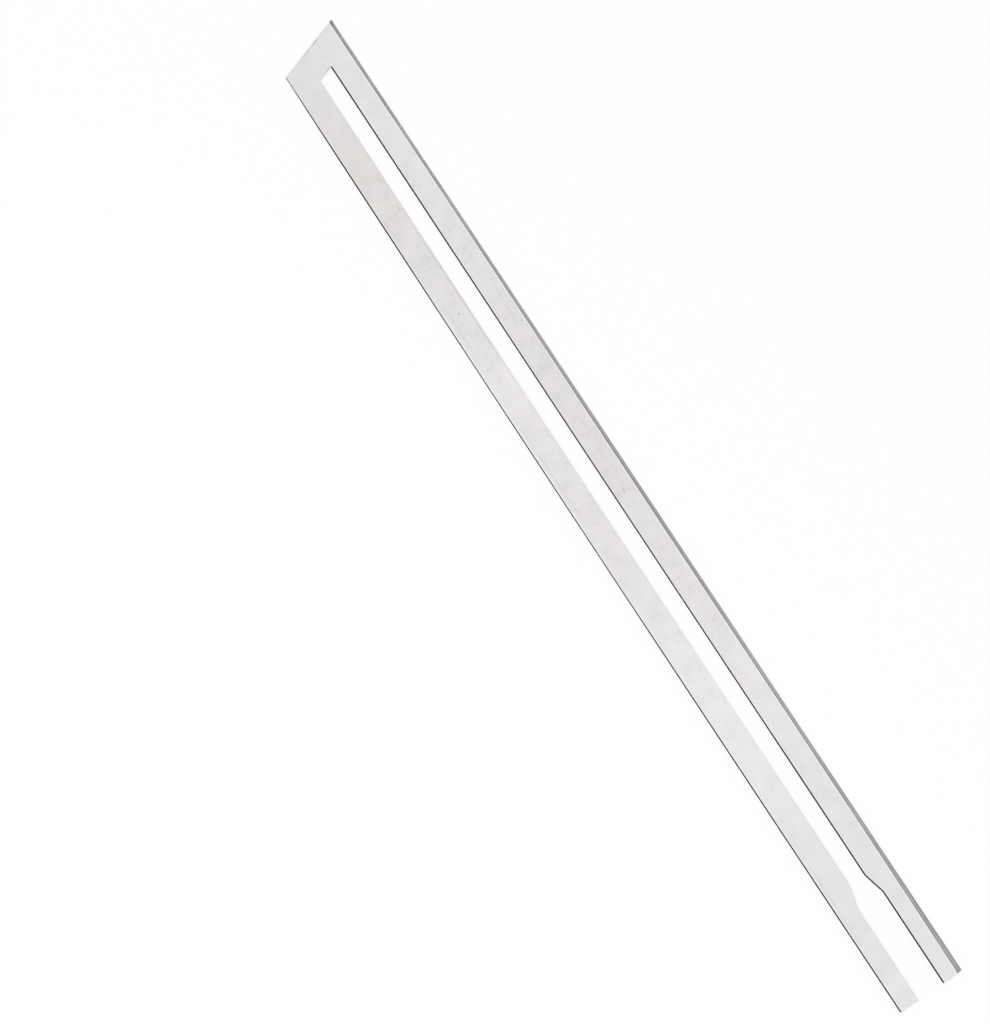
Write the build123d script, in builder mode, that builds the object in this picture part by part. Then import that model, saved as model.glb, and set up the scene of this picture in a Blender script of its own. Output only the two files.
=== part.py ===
"""Hot knife blade: one flat strip of resistance alloy, slit into a hairpin.

The blade lies flat on its lower face. +X runs along it to the slanted tip, the cutting edge
is on the -Y side and the spine on the +Y side. The origin is under the middle of its box.
Current flows out along one leg, across the bridge at the tip and back along the other leg.
"""
import os
from math import cos, radians, tan

from build123d import *

# Strip, in millimetres and degrees
length = 300.0              # tip point to tang ends
width = 20.0                # cutting edge to spine
thickness = 1.0
tip_angle = 22.0            # how far the tip edge leans back from square

# Slot between the legs
slot_width = 5.0
bridge = 7.8                # metal between tip edge and slot end, square to the tip edge
slot_corner_radius = 0.15   # left by the cutting beam

# Tang, where the legs step back to give the clamp more room
tang_gap = 8.2
tang_length = 28.0          # stretch with the full gap
shoulder_length = 6.0       # ramp from slot width to tang gap
shoulder_radius = 4.0       # rounds at both ends of the ramp

# Cutting edge, ground from both faces
bevel_width = 1.2
edge_land = 0.10            # flat left at the very edge

# Places that follow from the sizes above
x_tip = length / 2
x_tang = -length / 2
y_edge = -width / 2
y_spine = width / 2
slant = tan(radians(tip_angle))
bevel_depth = (thickness - edge_land) / 2


def x_on_tip(y):
    """Where the tip edge is at a distance y from the middle line."""
    return x_tip - (y - y_edge) * slant


def x_on_slot_end(y):
    """Where the slot's end is, parallel to the tip edge."""
    return x_on_tip(y) - bridge / cos(radians(tip_angle))


x_full_gap = x_tang + tang_length
x_full_slot = x_full_gap + shoulder_length
x_past_tang = x_tang - slot_width           # the opening's outline runs clear of the tang ends
y_slot = slot_width / 2
y_gap = tang_gap / 2

with BuildPart() as blade:
    # Strip with its slanted tip and square tang
    with BuildSketch(Plane.XY):
        with BuildLine():
            Polyline(
                (x_tang, y_edge),
                (x_tip, y_edge),
                (x_on_tip(y_spine), y_spine),
                (x_tang, y_spine),
                close=True,
            )
        make_face()
    extrude(amount=thickness)

    # V ground along the whole cutting edge, wider than it is deep
    for side in (Axis.Z, -Axis.Z):
        ground_face = blade.faces().sort_by(side)[-1]
        sharp_edge = ground_face.edges().filter_by(Axis.X).sort_by(Axis.Y)[0]
        chamfer(sharp_edge, bevel_width, bevel_depth, reference=ground_face)

    # Slot and tang gap, one cut from the slanted end out past the tang ends
    with BuildSketch(Plane.XY):
        with BuildLine():
            FilletPolyline(
                (x_past_tang, -y_gap),
                (x_full_gap, -y_gap),
                (x_full_slot, -y_slot),
                (x_on_slot_end(-y_slot), -y_slot),
                (x_on_slot_end(y_slot), y_slot),
                (x_full_slot, y_slot),
                (x_full_gap, y_gap),
                (x_past_tang, y_gap),
                radius=[
                    shoulder_radius,
                    shoulder_radius,
                    slot_corner_radius,
                    slot_corner_radius,
                    shoulder_radius,
                    shoulder_radius,
                ],
            )
            Line((x_past_tang, y_gap), (x_past_tang, -y_gap))
        make_face()
    extrude(amount=thickness, mode=Mode.SUBTRACT)

blade.part.label = "blade"
os.makedirs("parts", exist_ok=True)
export_step(blade.part, "parts/blade.step")
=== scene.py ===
from math import cos, pi, radians, sin, tan

import bmesh
import bpy
from mathutils import Matrix, Vector, noise


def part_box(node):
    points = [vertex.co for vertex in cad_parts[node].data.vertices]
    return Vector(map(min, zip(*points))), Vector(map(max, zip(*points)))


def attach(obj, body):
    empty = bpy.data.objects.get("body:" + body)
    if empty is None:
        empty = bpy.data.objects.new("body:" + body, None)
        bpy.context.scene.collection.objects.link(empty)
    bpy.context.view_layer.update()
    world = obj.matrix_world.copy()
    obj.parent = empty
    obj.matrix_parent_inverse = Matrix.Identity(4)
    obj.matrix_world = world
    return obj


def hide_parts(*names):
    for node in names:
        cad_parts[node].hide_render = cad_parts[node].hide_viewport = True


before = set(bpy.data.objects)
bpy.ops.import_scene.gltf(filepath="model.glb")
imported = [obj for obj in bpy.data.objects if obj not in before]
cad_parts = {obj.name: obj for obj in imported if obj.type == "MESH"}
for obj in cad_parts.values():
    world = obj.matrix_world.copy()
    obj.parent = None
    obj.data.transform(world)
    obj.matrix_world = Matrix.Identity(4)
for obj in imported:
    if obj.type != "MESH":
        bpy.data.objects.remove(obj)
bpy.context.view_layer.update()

# Blade strip: one flat piece of nickel-chrome resistance alloy, slit into a hairpin by a cutting
# beam, so that current runs out along one leg and back along the other. Its cutting edge is ground
# from both faces along the whole length, and the ends of the tip and the tang are dressed.
MM = 0.001
low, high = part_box("blade")
thickness = high.z - low.z
y_edge = low.y
y_spine = high.y
x_tang = low.x
x_tip = high.x

tip_angle = radians(22)             # the tip edge and the slot's end lean back alike
slant = tan(tip_angle)
bridge = 7.8 * MM
half_slot = 2.5 * MM
half_tang_gap = 4.1 * MM
spine_tang_gap = 4.2 * MM           # the same on the spine's side, measured from the middle line
tang_length = 27.7 * MM
shoulder_length = 6.0 * MM
cutting_shoulder_ease = 0.05        # share of a shoulder over which each of its bends is rounded
spine_shoulder_ease = 0.25
slot_corner_radius = 0.15 * MM
sprung_from = -30.0 * MM            # the legs have sprung into a slight bow, its top at this place
cutting_leg_bow = 0.03 * MM         # there an edge lies this far off its straight line, towards +Y,
cutting_leg_drop = 0.23 * MM        # and 150 mm along the blade from there this much less far
spine_leg_bow = 0.20 * MM
spine_leg_drop = 0.46 * MM
spine_drop = 0.38 * MM
kerf_taper = 0.04 * MM              # each slot wall leans in underneath, over twice this at the tip
slot_end_lean = 0.12 * MM           # the wall at the slot's end leans the other way
spine_flare = 0.06 * MM             # the spine's wall leans out underneath, as much as it has sprung,
plumb_tip = 16.0 * MM               # but stands square over this much of the tip
worn_corner = 0.22 * MM             # how far the tang's end is worn back at the cutting edge
worn_run = 1.0 * MM                 # stretch over which the columns move up to make room for that
edge_land = 0.10 * MM
bevel_depth = (thickness - edge_land) / 2
x_full_gap = x_tang + tang_length
x_full_slot = x_full_gap + shoulder_length
slot_end_station = x_tip - bridge / cos(tip_angle)      # where its line meets the cutting edge

column = 0.2 * MM                   # spacing of the mesh along the blade
leaning_run = 40.0 * MM             # stretch over which the columns turn from square to slanted
bevel_lines = (0.0, 0.5)            # shares of each width at which a mesh line runs lengthwise
leg_lines = (0.0, 0.04, 0.35, 0.65, 0.96, 1.0)
slot_lines = (0.03, 0.07, 0.3, 0.7, 0.93, 0.97)
wall_cuts = 2                       # mesh rows added across the thickness of a wall
squarely = 0.99                     # cosine above which a face counts as facing one way
skin = 0.01 * MM                    # a point this near the upper or lower face lies on it
broken_edge = 0.015 * MM            # rounding of a rim
sharp_bend = radians(40)            # a rim is where two faces meet at more than this
weld = 0.0001 * MM                  # points closer than this become one

# How ragged the walls are: the length of a bite, its depth, and how readily one comes
end_nicks = (0.70 * MM, 0.120 * MM, -0.45)
upper_rim_bites = (0.55 * MM, 0.045 * MM, -0.12)
lower_rim_bites = (0.80 * MM, 0.045 * MM, -0.10)
wall_ripples = (0.40 * MM, 0.015 * MM, 0.10)

FACE, GROUND, BEAM_CUT, DRESSED_END = range(4)


def soft_start(share, ease):
    """A straight rise from zero whose first bend is rounded."""
    if share < -ease:
        return 0.0
    if share < ease:
        return (share + ease) ** 2 / (4 * ease)
    return share


def sprung(x, bow, drop):
    """How far towards +Y an edge has sprung off its straight line, at a place x along it."""
    return bow - drop * ((x - sprung_from) / x_tip) ** 2


def opening(x, ease):
    """Zero along the slot, one along the tang and a soft ramp over the shoulders."""
    share = (x_full_slot - x) / shoulder_length
    return 1 - soft_start(1 - soft_start(share, ease), ease)


def y_cutting_leg(x):
    """The cutting leg's inner edge."""
    opened = opening(x, cutting_shoulder_ease)
    straight = half_slot + (half_tang_gap - half_slot) * opened
    return sprung(max(x, sprung_from), cutting_leg_bow, cutting_leg_drop) * (1 - opened) - straight


def y_spine_leg(x):
    """The spine leg's inner edge."""
    opened = opening(x, spine_shoulder_ease)
    straight = half_slot + (spine_tang_gap - half_slot) * opened
    return sprung(x, spine_leg_bow, spine_leg_drop) * (1 - opened) + straight


def y_on_spine(x):
    """The spine's outer edge."""
    return y_spine + sprung(x, 0.0, spine_drop)


def bevel_width(run):
    """The grind's width in millimetres, at a run of -1 at the tang's end to 1 at the tip."""
    square = run * run
    return 1.172 - 0.133 * run - 0.240 * square - 0.081 * square * run + 0.393 * square * square


def y_on_arris(x):
    """Where the grind meets the flat face at a place x along the blade."""
    return y_edge + bevel_width(x / x_tip) * MM


def x_on_slot_end(y):
    """Where the slot's slanted end is at a distance y from the middle line."""
    return slot_end_station - slant * (y - y_edge)


def across(line, x):
    """The y of one lengthwise mesh line at a place x along the blade."""
    zone, share = line
    start, end = {
        "bevel": (y_edge, y_on_arris(x)),
        "cutting_leg": (y_on_arris(x), y_cutting_leg(x)),
        "slot": (y_cutting_leg(x), y_spine_leg(x)),
        "spine_leg": (y_spine_leg(x), y_on_spine(x)),
    }[zone]
    return start + (end - start) * share


def flat_outline():
    """The strip's lower face as a grid of quads that follows its edges, with the slot left out."""
    lines = [("bevel", share) for share in bevel_lines]
    lines += [("cutting_leg", share) for share in leg_lines]
    lines += [("slot", share) for share in slot_lines]
    lines += [("spine_leg", share) for share in leg_lines]
    strips = len(lines) - 1
    first_slot_strip = len(bevel_lines) + len(leg_lines) - 1
    last_slot_strip = first_slot_strip + len(slot_lines) + 1
    leg_columns = round((slot_end_station - x_tang) / column)
    bridge_columns = round((x_tip - slot_end_station) / column)
    columns = leg_columns + bridge_columns
    half_grid = 0.5

    mesh = bmesh.new()
    bmesh.ops.create_grid(mesh, x_segments=columns, y_segments=strips, size=half_grid)
    over_slot = []
    for face in mesh.faces:
        middle = face.calc_center_median()
        over_legs = (middle.x + half_grid) * columns < leg_columns
        if over_legs and first_slot_strip < (middle.y + half_grid) * strips < last_slot_strip:
            over_slot.append(face)
    bmesh.ops.delete(mesh, geom=over_slot, context="FACES")

    for vert in mesh.verts:
        count = round((vert.co.x + half_grid) * columns)
        line = lines[round((vert.co.y + half_grid) * strips)]
        if count <= leg_columns:
            station = x_tang + (slot_end_station - x_tang) * count / leg_columns
        else:
            share = (count - leg_columns) / bridge_columns
            station = slot_end_station + (x_tip - slot_end_station) * share
        turned = min(1.0, max(0.0, 1 - (slot_end_station - station) / leaning_run))
        lean = slant * turned * turned * (3 - 2 * turned)
        x = station - lean * (across(line, station) - y_edge)
        if line[0] == "bevel":
            x += worn_corner * (1 - line[1]) * max(0.0, 1 - (x - x_tang) / worn_run)
        vert.co = (x, across(line, x), low.z)
    return mesh


def round_slot_corners(mesh):
    """Moves the outline beside the slot's two inner corners onto arcs."""
    for side, y_leg in ((-1, y_cutting_leg), (1, y_spine_leg)):
        inner = y_leg(x_on_slot_end(0))
        corner = Vector((x_on_slot_end(inner), inner, low.z))
        half_angle = (pi / 2 + side * tip_angle) / 2
        along_wall = Vector((-1, 0, 0))
        along_end = Vector((side * slant, -side, 0)).normalized()
        to_centre = (along_wall + along_end).normalized()
        centre = corner + to_centre * slot_corner_radius / sin(half_angle)
        reach = slot_corner_radius / tan(half_angle)
        for vert in mesh.verts:
            if vert.is_boundary and (vert.co - corner).length < reach:
                vert.co = centre + (vert.co - centre).normalized() * slot_corner_radius


def raise_to_thickness(mesh):
    """Gives the outline its thickness and grinds the cutting edge from both faces."""
    sheet = mesh.verts[:] + mesh.edges[:] + mesh.faces[:]
    raised = bmesh.ops.extrude_face_region(mesh, geom=sheet, use_keep_orig=True)["geom"]
    top = [item for item in raised if isinstance(item, bmesh.types.BMVert)]
    bmesh.ops.translate(mesh, verts=top, vec=(0, 0, thickness))
    bmesh.ops.recalc_face_normals(mesh, faces=mesh.faces)
    for vert in mesh.verts:
        arris = y_on_arris(vert.co.x)
        ground_off = bevel_depth * max(0.0, (arris - vert.co.y) / (arris - y_edge))
        vert.co.z += ground_off if vert.co.z < low.z + thickness / 2 else -ground_off
    mesh.normal_update()


def station_at(place):
    """Where the slanted line through a place meets the cutting edge."""
    return place.x + slant * (place.y - y_edge)


def wall_kind(place):
    """Whether the wall at a place is a dressed end or was left as the beam cut it."""
    at_end = place.x < x_tang + column / 2 or station_at(place) > x_tip - column / 2
    return DRESSED_END if at_end else BEAM_CUT


def sort_faces(mesh):
    """Marks each face as rolled face, ground bevel, beam-cut wall or dressed end."""
    for face in mesh.faces:
        face.smooth = True
        middle = face.calc_center_median()
        sloping = abs(face.normal.z) > 0.5
        edge_on = face.normal.y < -squarely
        if abs(face.normal.z) > squarely:
            face.material_index = FACE
        elif middle.y < y_on_arris(middle.x) and (sloping or edge_on):
            face.material_index = GROUND
        else:
            face.material_index = wall_kind(middle)


def split_walls(mesh):
    """Adds rows across the thickness of every wall but the land at the cutting edge."""
    upright = []
    for edge in mesh.edges:
        start, end = (vert.co for vert in edge.verts)
        if abs(start.z - end.z) > thickness / 2 and start.xy == end.xy:
            upright.append(edge)
    bmesh.ops.subdivide_edges(mesh, edges=upright, cuts=wall_cuts, use_grid_fill=True)


def bitten(place, pitch, depth, readiness):
    """How deep a ragged edge is bitten at a place, with bites about one pitch long."""
    wave = noise.noise(place / pitch) + 0.5 * noise.noise(place * 2.3 / pitch)
    return depth * max(0.0, wave + readiness)


def roughen_walls(mesh):
    """Leans the walls, and bites them and their rims as raggedly as the beam left them."""
    moves = []
    for vert in mesh.verts:
        walls = [face for face in vert.link_faces if face.material_index in (BEAM_CUT, DRESSED_END)]
        if not walls or vert.co.y < y_on_arris(vert.co.x):
            continue
        outward = sum((face.normal for face in walls), Vector())
        outward.z = 0
        outward.normalize()
        if all(face.material_index == DRESSED_END for face in walls):
            depth = bitten(vert.co, *end_nicks)
        elif vert.co.z > high.z - skin:
            depth = bitten(vert.co, *upper_rim_bites)
        elif vert.co.z < low.z + skin:
            depth = bitten(vert.co, *lower_rim_bites)
        else:
            depth = bitten(vert.co, *wall_ripples)
        from_middle = (vert.co.x - sprung_from) / x_tip
        undercut = (high.z - vert.co.z) / thickness
        if abs(vert.co.y) < 2 * half_slot:
            short_of_end = (slot_end_station - station_at(vert.co)) / (2 * slot_corner_radius)
            on_side = min(1.0, max(0.0, short_of_end))
            depth -= kerf_taper * (1 + from_middle ** 2) * on_side * undercut
            depth += slot_end_lean * (1 - on_side) * undercut
        else:
            short_of_tip = (x_tip - plumb_tip - vert.co.x) / plumb_tip
            along_spine = min(1.0, max(0.0, short_of_tip))
            depth -= spine_flare * from_middle ** 2 * along_spine * undercut
        moves.append((vert, outward * -depth))
    for vert, move in moves:
        vert.co += move


def break_edges(mesh):
    """Rounds every sharp rim a little, within the blade's box, and keeps the arris crisp."""
    rims = [edge for edge in mesh.edges if edge.calc_face_angle(0) > sharp_bend]
    bmesh.ops.bevel(
        mesh,
        geom=rims,
        offset=broken_edge,
        offset_type="OFFSET",
        segments=2,
        profile=0.5,
        affect="EDGES",
        clamp_overlap=False,
        material=-1,
    )
    bmesh.ops.remove_doubles(mesh, verts=mesh.verts, dist=weld)
    for vert in mesh.verts:
        vert.co = [min(max(here, least), most) for here, least, most in zip(vert.co, low, high)]
    mesh.normal_update()
    for face in mesh.faces:
        if face.material_index == FACE and abs(face.normal.z) < squarely:
            face.material_index = wall_kind(face.calc_center_median())
    for edge in mesh.edges:
        between = {face.material_index for face in edge.link_faces}
        if between == {FACE, GROUND}:
            edge.smooth = False


blade_mesh = flat_outline()
round_slot_corners(blade_mesh)
raise_to_thickness(blade_mesh)
sort_faces(blade_mesh)
split_walls(blade_mesh)
roughen_walls(blade_mesh)
break_edges(blade_mesh)

blade_data = bpy.data.meshes.new("blade_hairpin")
blade_mesh.to_mesh(blade_data)
blade_mesh.free()
blade = bpy.data.objects.new("blade_hairpin", blade_data)
bpy.context.scene.collection.objects.link(blade)


class Wire:
    """A shader socket that Python expressions work on, each step of which adds a Math node."""

    def __init__(self, tree, socket=None):
        self.tree = tree
        self.socket = socket

    def node(self, kind, settings, inputs, output):
        """Adds a node: its settings first, then the values or links of its sockets."""
        made = self.tree.nodes.new(kind)
        for name, value in settings.items():
            setattr(made, name, value)
        for name, value in inputs.items():
            socket = find_socket(made.inputs, name)
            if isinstance(value, Wire):
                self.tree.links.new(value.socket, socket)
            else:
                socket.default_value = value
        return Wire(self.tree, find_socket(made.outputs, output))

    def math(self, operation, *values):
        return self.node("ShaderNodeMath", {"operation": operation}, dict(enumerate(values)), 0)

    def __add__(self, other):
        return self.math("ADD", self, other)

    def __radd__(self, other):
        return self.math("ADD", other, self)

    def __sub__(self, other):
        return self.math("SUBTRACT", self, other)

    def __rsub__(self, other):
        return self.math("SUBTRACT", other, self)

    def __mul__(self, other):
        return self.math("MULTIPLY", self, other)

    def __rmul__(self, other):
        return self.math("MULTIPLY", other, self)

    def __truediv__(self, other):
        return self.math("DIVIDE", self, other)

    def __abs__(self):
        return self.math("ABSOLUTE", self)

    def __lt__(self, other):
        return self.math("LESS_THAN", self, other)


def find_socket(sockets, name):
    """A socket by its number, its identifier or its name."""
    if isinstance(name, int):
        return sockets[name]
    for socket in sockets:
        if socket.identifier == name:
            return socket
    return sockets[name]


def larger(one, other):
    """The larger of a wire and another wire or number."""
    return one.math("MAXIMUM", one, other)


def smaller(one, other):
    """The smaller of a wire and another wire or number."""
    return one.math("MINIMUM", one, other)


def rise(value, start, end):
    """Zero up to start, one from end on, and a smooth step between them."""
    settings = {"interpolation_type": "SMOOTHSTEP"}
    inputs = {"Value": value, "From Min": start, "From Max": end}
    return value.node("ShaderNodeMapRange", settings, inputs, "Result")


def hump(value, middle, reach):
    """One at the middle, falling smoothly to zero at reach on either side."""
    return 1 - rise(abs(value - middle), 0.0, reach)


def clouds(place, per_mm, detail=2.0, roughness=0.5):
    """Soft noise about 0.5, with features of about half a millimetre over per_mm."""
    inputs = {"Vector": place, "Scale": per_mm, "Detail": detail, "Roughness": roughness}
    return place.node("ShaderNodeTexNoise", {}, inputs, "Fac")


def stretched(place, along, width, height=1.0):
    """The place with its features drawn out along the blade or across it."""
    inputs = {0: place, 1: (1 / along, 1 / width, 1 / height)}
    return place.node("ShaderNodeVectorMath", {"operation": "MULTIPLY"}, inputs, 0)


def specks(place, per_mm, size, share):
    """Round dots at scattered places: size in cells, share of the cells that hold one."""
    inputs = {"Vector": place, "Scale": per_mm}
    reach = place.node("ShaderNodeTexVoronoi", {}, inputs, "Distance")
    cell = Wire(place.tree, reach.socket.node.outputs["Color"])
    chance = place.node("ShaderNodeSeparateColor", {}, {"Color": cell}, 0)
    return (1 - rise(reach, size * 0.6, size)) * (chance < share)


def scratch(x, y, at, size, lean):
    """A short mark at a place: its half length and half width, and its lean off the run."""
    run = (x - at[0]) * cos(lean) + (y - at[1]) * sin(lean)
    over = (y - at[1]) * cos(lean) - (x - at[0]) * sin(lean)
    return hump(run, 0.0, size[0]) * hump(over, 0.0, size[1])


def tinted(colour, other, share):
    """One colour going over to another by a share."""
    start = colour if isinstance(colour, Wire) else (*colour, 1.0)
    end = other if isinstance(other, Wire) else (*other, 1.0)
    inputs = {"Factor_Float": share, "A_Color": start, "B_Color": end}
    return share.node("ShaderNodeMix", {"data_type": "RGBA"}, inputs, "Result_Color")


def shaded(colour, level):
    """A colour made lighter or darker by a level about one."""
    inputs = {0: colour, "Scale": level}
    return level.node("ShaderNodeVectorMath", {"operation": "SCALE"}, inputs, 0)


def mottled(colour, place, per_mm, amount):
    """A colour whose red, green and blue each drift a little on their own."""
    inputs = {"Vector": place, "Scale": per_mm, "Detail": 2.0, "Roughness": 0.6}
    drift = place.node("ShaderNodeTexNoise", {}, inputs, "Color")
    settings = {"operation": "MULTIPLY_ADD"}
    inputs = {0: drift, 1: (amount, amount, amount), 2: (1 - amount / 2,) * 3}
    level = place.node("ShaderNodeVectorMath", settings, inputs, 0)
    return place.node("ShaderNodeVectorMath", {"operation": "MULTIPLY"}, {0: colour, 1: level}, 0)


def new_finish(name):
    """An empty material, its main shader and the place on the blade in millimetres."""
    material = bpy.data.materials.new(name)
    material.use_nodes = True
    tree = material.node_tree
    coordinates = Wire(tree).node("ShaderNodeTexCoord", {}, {}, "Object")
    inputs = {0: coordinates, "Scale": 1 / MM}
    place = coordinates.node("ShaderNodeVectorMath", {"operation": "SCALE"}, inputs, 0)
    return material, tree.nodes["Principled BSDF"], place


def measures(place, axes):
    """The measures of a place along the axes that are asked for."""
    return [place.node("ShaderNodeSeparateXYZ", {}, {"Vector": place}, axis) for axis in axes]


def finish_with(shader, colour, roughness, height, bump_depth):
    """Links what varies to the shader's own sockets."""
    tree = shader.id_data
    tree.links.new(colour.socket, shader.inputs["Base Color"])
    tree.links.new(roughness.socket, shader.inputs["Roughness"])
    inputs = {"Height": height, "Distance": bump_depth, "Strength": 1.0}
    bump = height.node("ShaderNodeBump", {}, inputs, "Normal")
    tree.links.new(bump.socket, shader.inputs["Normal"])


def in_from_edges(x, y):
    """How far a place on the face lies in from each edge, in millimetres."""
    opened = smaller(larger((x_full_slot / MM - x) / (shoulder_length / MM), 0.0), 1.0)
    from_middle = (x - sprung_from / MM) * (MM / x_tip)
    squared = from_middle * from_middle
    towards_tip = larger(from_middle, 0)
    straight = half_slot / MM + opened * ((half_tang_gap - half_slot) / MM)
    cutting_sprung = cutting_leg_bow / MM - towards_tip * towards_tip * (cutting_leg_drop / MM)
    spine_sprung = spine_leg_bow / MM - squared * (spine_leg_drop / MM)
    from_cutting_wall = cutting_sprung * (1 - opened) - y - straight
    from_spine_wall = y - straight - spine_sprung * (1 - opened)
    station = x + slant * (y - y_edge / MM)
    from_slot_end = (station - slot_end_station / MM) * cos(tip_angle)
    return {
        "slot": larger(from_slot_end, larger(from_cutting_wall, from_spine_wall)),
        "slot_end": from_slot_end,
        "arris": y - y_edge / MM - bevel_width(x * (MM / x_tip)),
        "tip": (x_tip / MM - station) * cos(tip_angle),
        "spine": y_spine / MM - squared * (spine_drop / MM) - y,
    }


def heat_tint(place, x, on_spine_leg, quiet, calm):
    """Pale metal gone pink, warm or mauve in soft clouds, and less so where it stayed calm."""
    pale = (0.745, 0.742, 0.742)
    pink = (0.760, 0.742, 0.746)
    warm = (0.768, 0.744, 0.730)
    mauve = (0.772, 0.740, 0.750)
    pink_cutting = 1 - rise(x, 42.0, 82.0)
    pink_spine = larger(hump(x, 20.0, 60.0), hump(x, -19.0, 22.0))
    pink_spine = pink_spine + hump(x, -117.0, 9.0) * 0.8 + (1 - rise(x, -146.0, -138.0)) * 0.8
    pinkish = (1 - on_spine_leg) * pink_cutting + on_spine_leg * pink_spine
    colour = tinted(pale, pink, pinkish)
    colour = tinted(colour, warm, on_spine_leg * hump(x, 105.0, 50.0))
    clouded = rise(clouds(place, 0.17, 3.0, 0.6), 0.42, 0.60) * (1 - calm * 0.5)
    colour = tinted(colour, mauve, clouded * (1 - quiet * 0.6) * 0.55)
    drifted = mottled(mottled(colour, place, 0.12, 0.07), place, 0.7, 0.03)
    return tinted(colour, drifted, 1 - calm * 0.75)


# Lighter and darker stretches of each leg: the middle, the reach and how much lighter
cutting_leg_tones = ((35.0, 75.0, -0.050), (-60.0, 30.0, 0.027))
spine_leg_tones = (
    (105.0, 60.0, -0.063),
    (41.0, 12.0, 0.040),
    (19.0, 10.0, -0.010),
    (-9.0, 9.0, 0.022),
    (-66.0, 60.0, 0.070),
    (-131.0, 8.0, 0.025),
)


def leg_tone_and_sheen(x, on_spine_leg):
    """How light the face is along each leg, about one: its own lighter and darker stretches, and in
    the base level and its slope along the blade a painted sheen in place of the soft lamp's
    reflection.
    """
    level = 1.058 - x * 0.0001 - (1 - rise(x, -10.0, 35.0)) * 0.022
    for middle, reach, lighter in cutting_leg_tones:
        level = level + (1 - on_spine_leg) * hump(x, middle, reach) * lighter
    for middle, reach, lighter in spine_leg_tones:
        level = level + on_spine_leg * hump(x, middle, reach) * lighter
    return level + on_spine_leg * (1 - rise(x, -145.0, -134.0)) * 0.020


def spine_streaks(place, x, from_spine):
    """Long thin streaks beside the spine, along a line that wanders a little."""
    streak = clouds(stretched(place, 2.2, 0.25), 1.0, 3.0, 0.6)
    strength = hump(x, 60.0, 12.0) + hump(x, 8.0, 30.0) * rise(x, -3.0, 3.0)
    strength = strength + hump(x, -118.0, 34.0) * 0.8 + hump(x, 94.0, 7.0) * 0.4
    line = 1.35 + hump(x, 60.0, 14.0) * 0.30 - rise(x, 74.0, 88.0) * 0.45
    line = line - (1 - rise(x, -132.0, -85.0)) * 0.50
    streaks = hump(from_spine - line, 0.0, 0.55) * strength
    return streaks * (0.05 + rise(streak, 0.40, 0.62) * 0.11)


# Short marks: the place, the half length and half width, the lean in degrees, and the depth
short_marks = (
    ((36.1, -6.8), (0.8, 0.35), 60, 0.14),
    ((22.0, -6.2), (3.2, 0.60), 0, 0.05),
    ((14.0, -6.1), (3.6, 0.55), 0, 0.06),
    ((3.2, -6.4), (1.2, 0.50), -15, 0.09),
    ((0.8, -5.3), (1.1, 0.35), -8, 0.26),
    ((0.3, -6.8), (0.9, 0.35), 20, 0.16),
    ((-2.8, -5.6), (0.9, 0.35), 35, 0.14),
    ((104.8, -4.7), (0.9, 0.35), 70, 0.14),
    ((98.4, -4.7), (0.9, 0.35), -45, 0.13),
    ((64.0, -6.8), (2.2, 0.40), 4, 0.10),
    ((57.0, -6.3), (4.0, 0.60), 0, 0.06),
    ((94.0, 7.1), (2.2, 0.40), 5, 0.09),
    ((63.4, 5.7), (0.5, 0.28), 78, 0.50),
    ((-31.0, -6.2), (0.8, 0.40), 10, 0.08),
    ((-35.5, -6.0), (0.9, 0.40), 25, 0.08),
    ((-40.0, -6.2), (0.9, 0.40), -20, 0.08),
    ((18.0, 4.7), (2.0, 0.35), -38, -0.06),
    ((3.8, 4.5), (1.2, 0.35), 40, -0.05),
)


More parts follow.
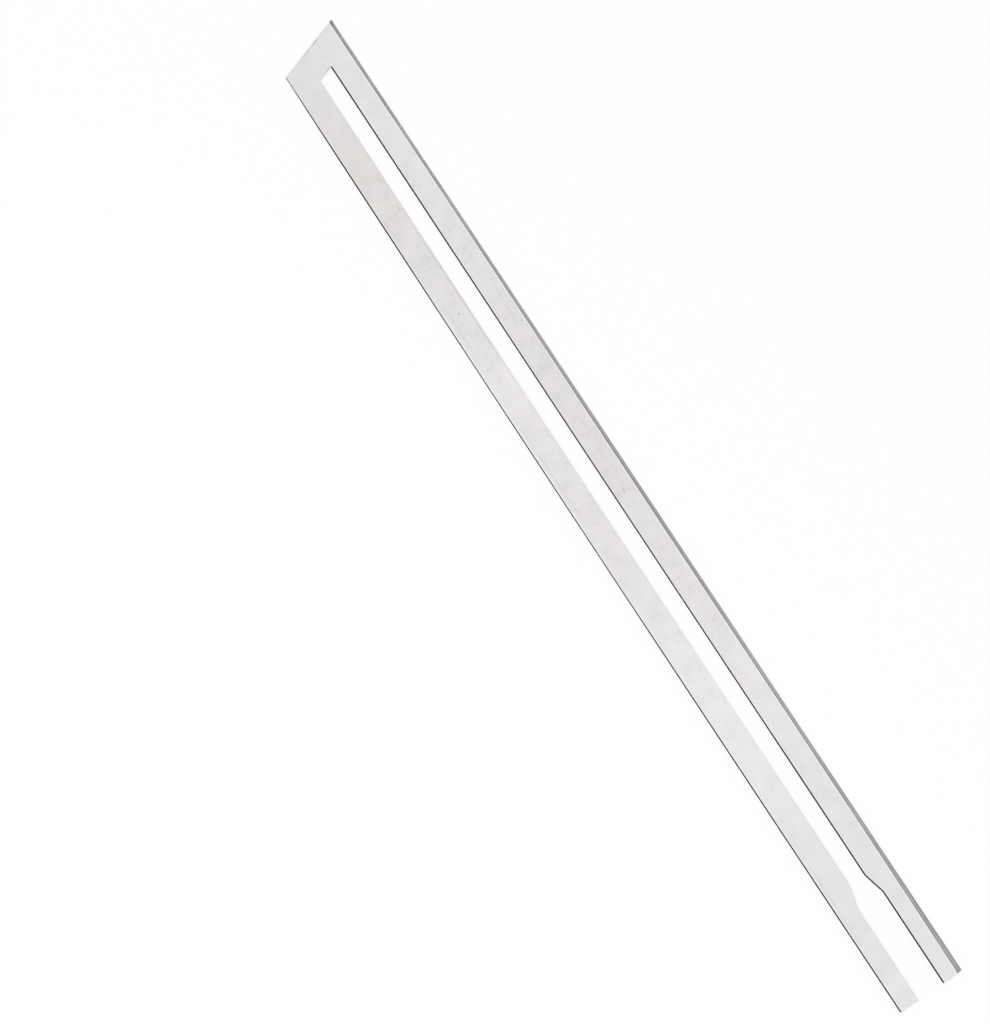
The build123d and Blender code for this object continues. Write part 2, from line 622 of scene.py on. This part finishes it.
def rolled_face():
    """Pale rolled face: heat-tinted clouds, smudges, specks and the marks beside each edge."""
    material, shader, place = new_finish("rolled_face")
    shader.inputs["Metallic"].default_value = 1.0
    x, y = measures(place, "XY")
    inset = in_from_edges(x, y)
    on_spine_leg = rise(y, -1.5, 1.5)
    on_cutting_leg = 1 - on_spine_leg
    # Calm stretches have fewer specks and clouds, and the quiet ones among them the least mauve
    quiet = larger(rise(x, 98.0, 124.0), on_spine_leg * (1 - rise(x, -66.0, -44.0)))
    calm = larger(quiet, on_cutting_leg * (1 - rise(x, -75.0, -45.0)))
    patchy = clouds(place, 0.22, 2.0)
    smudge = clouds(stretched(place, 1.6, 0.9), 0.9, 4.0, 0.65)
    grain = clouds(place, 1.6, 2.0, 0.5)
    fine = clouds(place, 5.0, 2.0, 0.6)
    uneven = (fine - 0.5) * 0.25

    # The leg's tone includes a painted sheen that stands in for the lamp's reflection
    level = leg_tone_and_sheen(x, on_spine_leg) - (patchy - 0.5) * 0.12
    speckled = rise(patchy, 0.42, 0.60) * (1 - calm * 0.6)
    level = level - rise(smudge, 0.46, 0.74) * speckled * 0.10
    level = level - (fine - 0.5) * (0.02 + speckled * 0.03)
    level = level - (grain - 0.5) * (0.02 + speckled * 0.04)
    level = level - spine_streaks(place, x, inset["spine"])
    for at, size, lean, depth in short_marks:
        level = level - scratch(x, y, at, size, radians(lean)) * depth * (0.5 + fine)
    worn_rim = hump(x, 66.0, 34.0) * on_spine_leg * (1 - rise(inset["slot"], 0.25, 0.90))
    level = level - worn_rim * (0.12 + rise(fine, 0.45, 0.60) * 0.10)
    tip_rim = hump(inset["tip"], 0.30, 0.36) * hump(y, 0.0, 8.0)
    level = level - tip_rim * (0.06 + rise(grain, 0.42, 0.60) * 0.07)
    arris_grit = rise(clouds(place, 4.5, 3.0, 0.7), 0.52, 0.66) * rise(patchy, 0.35, 0.6)
    level = level - arris_grit * (1 - rise(inset["arris"], 0.25, 1.1)) * 0.10

    # A near-white line beside the arris: partly a burnished edge, partly a painted highlight where
    # the arris catches the light
    arris_burnish_and_highlight = 1 - rise(inset["arris"] + uneven * 0.4, 0.12, 0.30)
    cutting_rim = on_cutting_leg * (1 - rise(inset["slot"] + uneven, 0.15, 0.50))
    rubbed_rim = larger(cutting_rim, 1 - rise(inset["spine"] + uneven, 0.15, 0.50))
    bright_rim = (1 - rise(inset["spine"] + uneven, 0.12, 0.42)) * (1 - rise(x, 68.0, 90.0))
    slot_rim = on_spine_leg * (1 - rise(inset["slot"] + uneven, 0.10, 0.30))
    slot_rim = slot_rim * (0.35 + hump(x, 98.0, 24.0) * 0.40)
    end_burr = hump(inset["slot_end"], 0.32, 0.22) * hump(y, -1.4, 1.6)
    slot_burr = 0.4 + (1 - rise(x, -82.0, -62.0)) * 0.6 + hump(x, 98.0, 12.0) * 0.5
    slot_burr = slot_burr * on_cutting_leg * (1 - rise(inset["slot"], 0.04, 0.09))
    spine_burr = larger(hump(x, 97.0, 32.0) * 0.8, 1 - rise(x, -50.0, -15.0))
    spine_burr = spine_burr * (1 - rise(inset["spine"], 0.04, 0.09))
    pitted = rise(fine, 0.52, 0.62) * rise(clouds(stretched(place, 5.0, 50.0), 1.0), 0.52, 0.60)
    rim_pits = hump(inset["slot"] + (patchy - 0.5) * 0.5, 0.5, 0.14) * pitted
    tip_burr = rise(clouds(place, 1.3, 3.0, 0.7), 0.49, 0.60) * hump(y, -1.5, 4.5)
    tip_burr = tip_burr * (1 - rise(inset["tip"], 0.35, 0.60))
    dots = specks(place, 0.9, 0.09, 0.12)

    near_white_metal = (0.98, 0.97, 0.97)
    rubbed_metal = (0.88, 0.87, 0.87)
    dull_metal = (0.65, 0.63, 0.63)
    brown_burr = (0.20, 0.18, 0.18)
    black_burr = (0.03, 0.03, 0.03)
    tip_burr_brown = (0.16, 0.14, 0.13)
    dot_brown = (0.28, 0.25, 0.25)
    colour = shaded(heat_tint(place, x, on_spine_leg, quiet, calm), level)
    # Painted highlight along the arris, partly a burnished edge
    colour = tinted(colour, near_white_metal, arris_burnish_and_highlight * 0.8)
    colour = tinted(colour, rubbed_metal, rubbed_rim * 0.45)
    colour = tinted(colour, near_white_metal, bright_rim * 0.5)
    colour = tinted(colour, dull_metal, slot_rim)
    colour = tinted(colour, brown_burr, end_burr * 0.5)
    colour = tinted(colour, black_burr, larger(slot_burr, spine_burr) * 0.9)
    colour = tinted(colour, brown_burr, rim_pits * 0.6)
    colour = tinted(colour, tip_burr_brown, tip_burr * 0.6)
    colour = tinted(colour, dot_brown, dots * 0.5)

    roughness = 0.43 + (smudge - 0.5) * 0.15 + (fine - 0.5) * 0.08
    height = fine * 0.4 + smudge - dots * 2.0 - rim_pits * 2.0
    finish_with(shader, colour, roughness, height, bump_depth=0.006 * MM)
    return material


def ground_bevel():
    """Ground bevel whose grey is painted darker than the face, a painted reflection of the darker
    surroundings its tilt faces: fine grinding lines across it and a rusty band along the arris.
    """
    material, shader, place = new_finish("ground_bevel")
    shader.inputs["Metallic"].default_value = 1.0
    x, y, z = measures(place, "XYZ")
    up_bevel = (y - y_edge / MM) / bevel_width(x * (MM / x_tip))
    underside = 1 - rise(z, 0.48, 0.52)
    at_tang = 1 - rise(x, -128.0, -112.0)
    drift = clouds(stretched(place, 6.0, 2.0), 1.0, 2.0)
    lines = clouds(stretched(place, 0.14, 6.0), 1.0, 3.0, 0.7)
    wide_lines = clouds(stretched(place, 0.6, 4.0), 1.0, 2.0, 0.6)
    along = clouds(stretched(place, 9.0, 0.35), 1.0, 2.0)
    grit = clouds(place, 6.0, 3.0, 0.7)

    ground_lines = (lines - 0.5) * 0.34 + (wide_lines - 0.5) * 0.30 + (along - 0.5) * 0.45
    coarser_at_tip = 1 + rise(x, 60.0, 100.0) * 1.2
    level = 0.99 + ground_lines * coarser_at_tip + (grit - 0.5) * 0.40
    level = level + hump(x, -62.0, 34.0) * 0.07 + hump(x, 92.0, 40.0) * 0.035
    level = level - hump(x, 0.0, 60.0) * 0.05 - hump(x, 93.5, 5.0) * 0.09
    level = level - hump(x, 140.5, 7.0) * 0.12 - rise(x, 147.5, 149.5) * 0.35
    shade = 0.19 + rise(x, -110.0, -50.0) * 0.23 + hump(x, 5.0, 60.0) * 0.06
    level = level + hump(up_bevel, 0.45, 0.30) * 0.06 - rise(up_bevel, 0.66, 0.90) * shade
    level = level - hump(up_bevel, 0.20, 0.35) * (1 - rise(x, -105.0, -75.0)) * 0.09
    level = level - hump(up_bevel, 0.05, 0.26) * at_tang * 0.29

    # The grey and the lilac are painted dark, a painted reflection of what the tilted bevel faces;
    # the grinding marks, the lilac tint and the rust are its own
    grey = (0.398, 0.394, 0.396)
    lilac_painted_dark = (0.388, 0.374, 0.386)
    rust = (0.330, 0.235, 0.185)
    pit_brown = (0.05, 0.03, 0.025)
    colour = tinted(grey, lilac_painted_dark, rise(drift, 0.4, 0.65) * (1 - rise(x, 122.0, 138.0)))
    colour = shaded(mottled(colour, place, 0.5, 0.08), level)
    band = rise(up_bevel + (grit - 0.5) * 0.5 + (drift - 0.5) * 0.6, 0.62, 0.95)
    colour = tinted(colour, rust, band * (0.10 + underside * 0.70) * rise(drift, 0.3, 0.6))
    pits = specks(place, 2.2, 0.16, 0.22) * (0.25 + band)
    colour = tinted(colour, pit_brown, smaller(pits, 1.0) * 0.8)

    roughness = 0.40 + (lines - 0.5) * 0.2 + band * 0.15
    finish_with(shader, colour, roughness, lines + grit * 0.5 - pits, bump_depth=0.010 * MM)
    return material


def beam_cut_wall():
    """Near-black walls that the beam cut, with upright striations: their own recast skin, darkened
    further by painted shade for walls that face sideways.
    """
    material, shader, place = new_finish("beam_cut_wall")
    shader.inputs["Specular IOR Level"].default_value = 0.10
    x, y = measures(place, "XY")
    striations = clouds(stretched(place, 0.12, 0.12, 2.5), 1.0, 3.0, 0.6)
    grain = clouds(place, 7.0, 3.0, 0.7)
    on_spine = rise(y, 6.0, 8.0)

    # The black and the brown are the recast skin's own dark colour together with painted shade
    oxide_black_and_shade = (0.010, 0.008, 0.008)
    brown = (0.036, 0.030, 0.028)
    thin_scale = (0.11, 0.10, 0.10)
    pale_scale = (0.32, 0.30, 0.29)
    colour = tinted(oxide_black_and_shade, brown, rise(striations * 0.5 + grain * 0.5, 0.38, 0.66))
    colour = tinted(colour, thin_scale, hump(x, 48.0, 22.0) * on_spine)
    colour = tinted(colour, pale_scale, rise(x, 130.0, 142.0) * on_spine * 0.8)

    roughness = 0.85 + (grain - 0.5) * 0.2
    finish_with(shader, colour, roughness, striations + grain * 0.5, bump_depth=0.030 * MM)
    return material


def dressed_end():
    """Grey walls at the tip and the tang ends, cut and then dressed."""
    material, shader, place = new_finish("dressed_end")
    shader.inputs["Metallic"].default_value = 1.0
    lines = clouds(stretched(place, 0.2, 0.2, 3.0), 1.0, 3.0, 0.6)
    grain = clouds(place, 6.0, 3.0, 0.7)

    grey = (0.36, 0.35, 0.35)
    brown = (0.22, 0.20, 0.19)
    level = 1.0 + (lines - 0.5) * 0.4 + (grain - 0.5) * 0.3
    colour = shaded(tinted(grey, brown, rise(grain, 0.5, 0.7)), level)

    roughness = 0.5 + (grain - 0.5) * 0.2
    finish_with(shader, colour, roughness, lines + grain, bump_depth=0.020 * MM)
    return material


blade_data.materials.append(rolled_face())
blade_data.materials.append(ground_bevel())
blade_data.materials.append(beam_cut_wall())
blade_data.materials.append(dressed_end())

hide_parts("blade")
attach(blade, "root")

# Studio: a plain white floor just under the blade, an even white surround and one large soft
# lamp, with the camera looking down on the strip from its spine side.
floor_reach = 3.0
floor_gap = 0.02 * MM               # keeps the floor just clear of the blade
floor_glow = 0.88                   # share of its white that doesn't take the blade's shadow
surround_light = 0.75               # what the white surround gives as light, of what is seen of it
lamp_size = 0.9
lamp_power = 6.0
lamp_place = Vector((-0.25, 0.75, 1.1))
camera_aim = Vector((13.80, 26.79, 0.0)) * MM
camera_distance = 815.73 * MM
camera_azimuth = radians(155.378)
camera_elevation = radians(73.161)
camera_roll = radians(33.065)
camera_lens = 110.59                # focal length in millimetres, on the default sensor

floor_mesh = bmesh.new()
bmesh.ops.create_grid(floor_mesh, x_segments=1, y_segments=1, size=floor_reach)
bmesh.ops.translate(floor_mesh, verts=floor_mesh.verts, vec=(0, 0, low.z - floor_gap))
floor_data = bpy.data.meshes.new("floor")
floor_mesh.to_mesh(floor_data)
floor_mesh.free()
floor = bpy.data.objects.new("floor", floor_data)
bpy.context.scene.collection.objects.link(floor)


def seen_directly(wire):
    """One for rays from the camera, from a glossy surface or through a clear one."""
    camera_ray = wire.node("ShaderNodeLightPath", {}, {}, "Is Camera Ray")
    outputs = camera_ray.socket.node.outputs
    glossy_ray = Wire(wire.tree, outputs["Is Glossy Ray"])
    clear_ray = Wire(wire.tree, outputs["Is Transmission Ray"])
    return larger(camera_ray, larger(glossy_ray, clear_ray))


def white_floor():
    """White paper that glows where it is looked at, so that it shows only a faint shadow."""
    material = bpy.data.materials.new("white_floor")
    material.use_nodes = True
    tree = material.node_tree
    shader = tree.nodes["Principled BSDF"]
    shader.inputs["Base Color"].default_value = (0.97, 0.97, 0.97, 1)
    shader.inputs["Roughness"].default_value = 1.0
    shader.inputs["Specular IOR Level"].default_value = 0.0
    paper = Wire(tree, shader.outputs["BSDF"])
    glow = paper.node("ShaderNodeEmission", {}, {"Strength": 1.0}, "Emission")
    inputs = {0: seen_directly(paper) * floor_glow, 1: paper, 2: glow}
    mixed = paper.node("ShaderNodeMixShader", {}, inputs, 0)
    tree.links.new(mixed.socket, tree.nodes["Material Output"].inputs["Surface"])
    return material


floor_data.materials.append(white_floor())

world = bpy.data.worlds.new("white_surround")
world.use_nodes = True
bpy.context.scene.world = world
surround = world.node_tree.nodes["Background"]
surround.inputs["Color"].default_value = (1, 1, 1, 1)
surround_seen = seen_directly(Wire(world.node_tree))
surround_level = surround_light + (1 - surround_light) * surround_seen
world.node_tree.links.new(surround_level.socket, surround.inputs["Strength"])

lamp_data = bpy.data.lights.new("soft_lamp", "AREA")
lamp_data.shape = "DISK"
lamp_data.size = lamp_size
lamp_data.energy = lamp_power
lamp = bpy.data.objects.new("soft_lamp", lamp_data)
lamp.location = lamp_place
lamp.rotation_euler = (-lamp_place).to_track_quat("-Z", "Y").to_euler()
lamp.visible_glossy = False
bpy.context.scene.collection.objects.link(lamp)

camera_data = bpy.data.cameras.new("camera")
camera_data.lens = camera_lens
camera = bpy.data.objects.new("camera", camera_data)
forward = Vector((
    sin(camera_azimuth) * cos(camera_elevation),
    cos(camera_azimuth) * cos(camera_elevation),
    -sin(camera_elevation),
))
turn = forward.to_track_quat("-Z", "Y").to_matrix().to_4x4()
roll = Matrix.Rotation(camera_roll, 4, "Z")
camera.matrix_world = Matrix.Translation(camera_aim - forward * camera_distance) @ turn @ roll
bpy.context.scene.collection.objects.link(camera)
bpy.context.scene.camera = camera
bpy.context.scene.view_settings.view_transform = "Standard"
